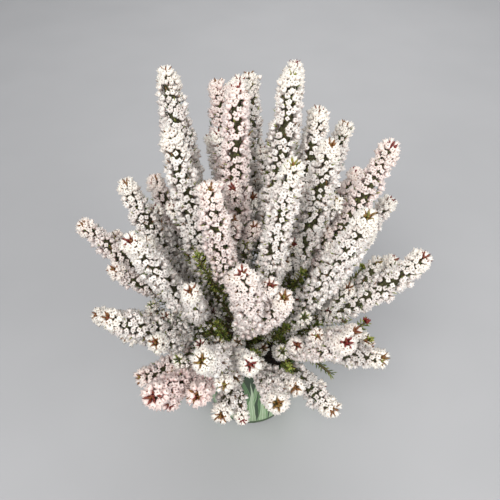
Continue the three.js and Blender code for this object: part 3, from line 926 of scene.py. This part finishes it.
def whole_plume(controls, side, width, openness, blush, spacing, size, bell):
    """Core, florets, leaves at the foot, star and new leaves of one plume."""
    (tip,), (tip_way,) = along_curve(controls, np.array([1.0]))
    redness = 0.25 + 0.75 * chance.random() ** 0.5
    return [
        core(controls, side, width),
        *florets(controls, side, width, blush, spacing, size, bell),
        needles(controls, side, 0.02, SPARSE_SHARE, FOOT_LEAF_PITCH, width * FOOT_LEAF_SHARE, 0.0, 2),
        *star(controls, side, openness, blush, size, redness, bell),
        tuft(tip - tip_way, tip_way, TUFT_COUNT, TUFT_LENGTH * size, 0.30 + 0.2 * openness, redness),
    ]


def branchlet(axis, side, width, place, blush):
    """A small side plume that leaves a plume near this share of it, to a side left to chance, and bends
    along it."""
    turn = chance.random() * 2 * np.pi
    share = np.array([place + chance.normal(0, 0.05)])
    (point,), (out,), (way,) = spoke_ways(axis, side, share, np.array([turn]), np.array([BRANCHLET_LIFT]))
    start = point + out * (width / 2 - BRANCHLET_WIDTH / 2)
    length = BRANCHLET_LENGTH * (0.7 + 0.6 * chance.random())
    up = unit(way + 0.5 * unit(axis[2] - axis[1]))
    controls = np.array([start, start + way * length / 2, start + (way + up) * length / 2])
    look = (BRANCHLET_OPENNESS, blush, BRANCHLET_SPACING, BRANCHLET_SIZE, small_bell)
    return whole_plume(controls, out + [0, 0, 0.01], BRANCHLET_WIDTH, *look)


def floret_material():
    """Papery petals: white with a cream or cool spread, darkened to rose-grey by painted shade towards the
    calyx, with a real blush there on rosy plumes. The calyx is green-brown, and the mouth dark. The florets
    near a plume's tip are creamier. The fourth mark is how rosy the plume is."""
    material, wires = new_material("heath florets")
    along, tone, share, blush = marks_of(wires)
    white = tone.rising(0.0, 1.0).colours(colour(0.89, 0.86, 0.82), colour(0.76, 0.71, 0.68))
    cream = (share.rising(0.82, 1.0) * 0.4).colours(white, colour(0.92, 0.87, 0.74))
    rosy = (blush * 0.55).colours(cream, colour(0.86, 0.62, 0.60))
    # Painted shade: each floret turns darker and rose-grey from below its mouth down to its foot; on rosy
    # plumes a real blush deepens it.
    foot_shade_and_blush = blush.colours(colour(0.56, 0.45, 0.43), colour(0.70, 0.36, 0.37))
    shaded = ((1.0 - along.rising(0.1, 0.8)) * 0.7).colours(rosy, foot_shade_and_blush)
    footed = (1.0 - along.rising(0.02, 0.20)).colours(shaded, colour(0.17, 0.15, 0.06))
    mouthed = along.rising(1.08, MOUTH_MARK).colours(footed, colour(0.13, 0.075, 0.045))
    creases = noise(wires, 1500.0, 2.0)
    finish_material(wires, {
        "Base Color": mouthed,
        "Roughness": 0.5 + creases * 0.2,
        "Normal": bumps(wires, creases, 0.0003, 0.6),
        "Subsurface Weight": 0.25,
        "Subsurface Radius": (1.0, 0.85, 0.8),
        "Subsurface Scale": 0.0015,
    })
    return material


def core_material():
    """The dark inside of a plume: brown calyxes and olive leaves in shade."""
    material, wires = new_material("plume inside")
    mottle = noise(wires, 800.0, 4.0)
    brown, olive = colour(0.035, 0.024, 0.014), colour(0.095, 0.105, 0.035)
    finish_material(wires, {
        "Base Color": mottle.rising(0.35, 0.65).colours(brown, olive),
        "Roughness": 0.8 + mottle * 0.1,
        "Normal": bumps(wires, mottle, 0.0008),
    })
    return material


petal = floret_material()
inside = core_material()
lobed_bell = floret_shape(8)
small_bell = floret_shape(6)
for index, plan in enumerate(plumes, start=1):
    side = heading(plan["azimuth"] + 90, 90)
    is_pink = plan["node"] == PINK_PLUME
    blush = 1.0 if is_pink else max(0.0, scatter(index, 0.325) - 0.3)
    size = PINK_SIZE if is_pink else 1.0
    openness = plan["tip_lean"] / 90
    width = plan["width"] * (0.96 + 0.08 * scatter(index, 0.71))
    look = (openness, blush, FLORET_SPACING, size, lobed_bell)
    axis = bent_axis(plan, plan["start"], plan["length"], 0, 0)
    parts = whole_plume(axis, side, width, *look)
    if plan["is_forked"]:
        (fork,), _ = along_curve(axis, np.array([SIDE_FROM]))
        side_axis = bent_axis(plan, fork, plan["length"] * SIDE_LENGTH, SIDE_ANGLE, SIDE_TIP_ANGLE)
        parts += whole_plume(side_axis, side, width * SIDE_WIDTH, *look)
    for place in BRANCHLET_PLACES if plan["length"] > SHORT_PLUME else BRANCHLET_PLACES[:1]:
        parts += branchlet(axis, side, width, place, blush)
    piece = new_piece(f"florets_{plan['node']}", parts, [petal, inside, leaf])
    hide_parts(plan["node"])

# Side sprays
# Below its plume each shoot carries thin side sprays: dark twigs with needles and sparse small florets,
# or leafy tips without flowers. More of them rise from the burls and cover the soil.

SPRAY_PLACES = (0.62, 0.86)
GROUND_SPRAY_COUNT = 20
GROUND_SPRAY_TURN = 110.0
SPRAY_LENGTH = 40.0
SPRAY_WIDTH = 13.0
SPRAY_SPACING = 5.3
SPRAY_SIZE = 0.74
SPRAY_TURN = 32.0
SPRAY_OPENNESS = 0.6
SPRAY_NEEDLE_PITCH = 3.4
TWIG_RADIUS = 0.8
TWIG_RINGS = 6
TWIG_SIDES = 5
LEAFY_SHARE = 0.4
LEAFY_STRETCH = 1.4
LEAFY_NEEDLE_PITCH = 2.3
LEAFY_TUFT_COUNT = 12
LEAFY_TUFT_LENGTH = 5.0
RED_TIPS = 0.2


def spray(start, way, side, length):
    """A twig that leaves a shoot and bends upwards, with its flowers or leaves."""
    is_leafy = chance.random() < LEAFY_SHARE
    length = length * (LEAFY_STRETCH if is_leafy else 1)
    bend = unit(way * 0.55 + np.array([0, 0, 0.8]))
    axis = np.array([start, start + way * length * 0.5, start + (way + bend) * length * 0.5])
    vertices, faces = tube(axis, side, np.full((TWIG_RINGS, TWIG_SIDES), TWIG_RADIUS))
    twig = (vertices, faces, np.array([[0.0, 0.0, 1.0, 1.0]]).repeat(len(vertices), axis=0), 3)
    if is_leafy:
        (tip,), (tip_way,) = along_curve(axis, np.array([1.0]))
        leaves = needles(axis, side, 0.25, 1.0, LEAFY_NEEDLE_PITCH, NEEDLE_LENGTH, 0.0, 2)
        redness = float(chance.random() < RED_TIPS)
        return [twig, leaves, tuft(tip, tip_way, LEAFY_TUFT_COUNT, LEAFY_TUFT_LENGTH, 0.35, redness)]
    return [
        twig,
        needles(axis, side, 0.1, 0.95, SPRAY_NEEDLE_PITCH, NEEDLE_LENGTH, 0.0, 2),
        *florets(axis, side, SPRAY_WIDTH, 0.0, SPRAY_SPACING, SPRAY_SIZE, small_bell),
        *star(axis, side, SPRAY_OPENNESS, 0.0, SPRAY_SIZE, chance.random(), small_bell),
    ]


for index in range(STEM_COUNT):
    azimuth = 360 * index / STEM_COUNT
    _, burl = stem_axis(azimuth)
    parts = []
    for plan in plumes:
        if apart(plan["azimuth"], azimuth) > 180 / STEM_COUNT:
            continue
        controls = shoot_curve(plan["start"], plan["azimuth"], plan["lean"], burl)
        for place in SPRAY_PLACES:
            (start,), (tangent,) = along_curve(controls, np.array([place + chance.normal(0, 0.04)]))
            swing = SPRAY_TURN * (1 if chance.random() < 0.5 else -1) * (0.5 + chance.random())
            outward = heading(plan["azimuth"] + swing, 60 + chance.normal(0, 12))
            way = unit(tangent + outward)
            length = SPRAY_LENGTH * (0.7 + 0.6 * chance.random())
            parts += spray(start, way, np.cross(way, outward) + [0, 0, 0.01], length)
    for step, turn in enumerate(np.linspace(-GROUND_SPRAY_TURN, GROUND_SPRAY_TURN, GROUND_SPRAY_COUNT)):
        way = heading(azimuth + turn + chance.normal(0, 3), 62 + 30 * scatter(step, 0.618))
        length = SPRAY_LENGTH * (0.9 + 0.5 * chance.random())
        parts += spray(burl - [0, 0, 3], way, heading(azimuth + turn + 90, 90), length)
    new_piece(f"side_sprays_{index + 1}", parts, [petal, inside, leaf, bark])

# Floor and light
# A plain pale floor, a large soft key light from the front left and above, a weaker fill and a soft light
# behind.

FLOOR_SIZE = 40.0


def floor_material():
    material, wires = new_material("pale floor")
    faint = noise(wires, 8.0, 2.0)
    finish_material(wires, {
        "Base Color": faint.colours(colour(0.36, 0.37, 0.385), colour(0.40, 0.41, 0.425)),
        "Roughness": 0.65,
    })
    return material


def soft_light(name, place, size, power, tint=(1.0, 1.0, 1.0)):
    """A square light of this size that faces the middle of the plant."""
    lamp = bpy.data.lights.new(name, "AREA")
    lamp.size = size
    lamp.energy = power
    lamp.color = tint
    holder = bpy.data.objects.new(name, lamp)
    holder.location = place
    holder.rotation_euler = (Vector(place) - VIEW_TARGET).to_track_quat("Z", "Y").to_euler()
    bpy.context.collection.objects.link(holder)


half = FLOOR_SIZE / 2
corners = [(-half, -half, 0), (half, -half, 0), (half, half, 0), (-half, half, 0)]
floor_mesh = bpy.data.meshes.new("floor")
floor_mesh.from_pydata(corners, [], [(0, 1, 2, 3)])
floor_mesh.materials.append(floor_material())
floor = bpy.data.objects.new("floor", floor_mesh)
bpy.context.collection.objects.link(floor)

soft_light("key", (-0.35, -1.0, 1.25), 0.7, 19.5, (1.0, 0.97, 0.94))
soft_light("fill", (1.0, -0.8, 0.7), 1.0, 11.0, (1.0, 0.98, 0.96))
soft_light("back", (0.2, 1.2, 1.0), 0.8, 8.0, (1.0, 0.98, 0.96))
world = bpy.data.worlds.new("studio")
world.use_nodes = True
sky = world.node_tree.nodes["Background"]
sky.inputs["Color"].default_value = colour(0.86, 0.85, 0.86)
sky.inputs["Strength"].default_value = 0.55
bpy.context.scene.world = world
bpy.context.scene.view_settings.view_transform = "Standard"
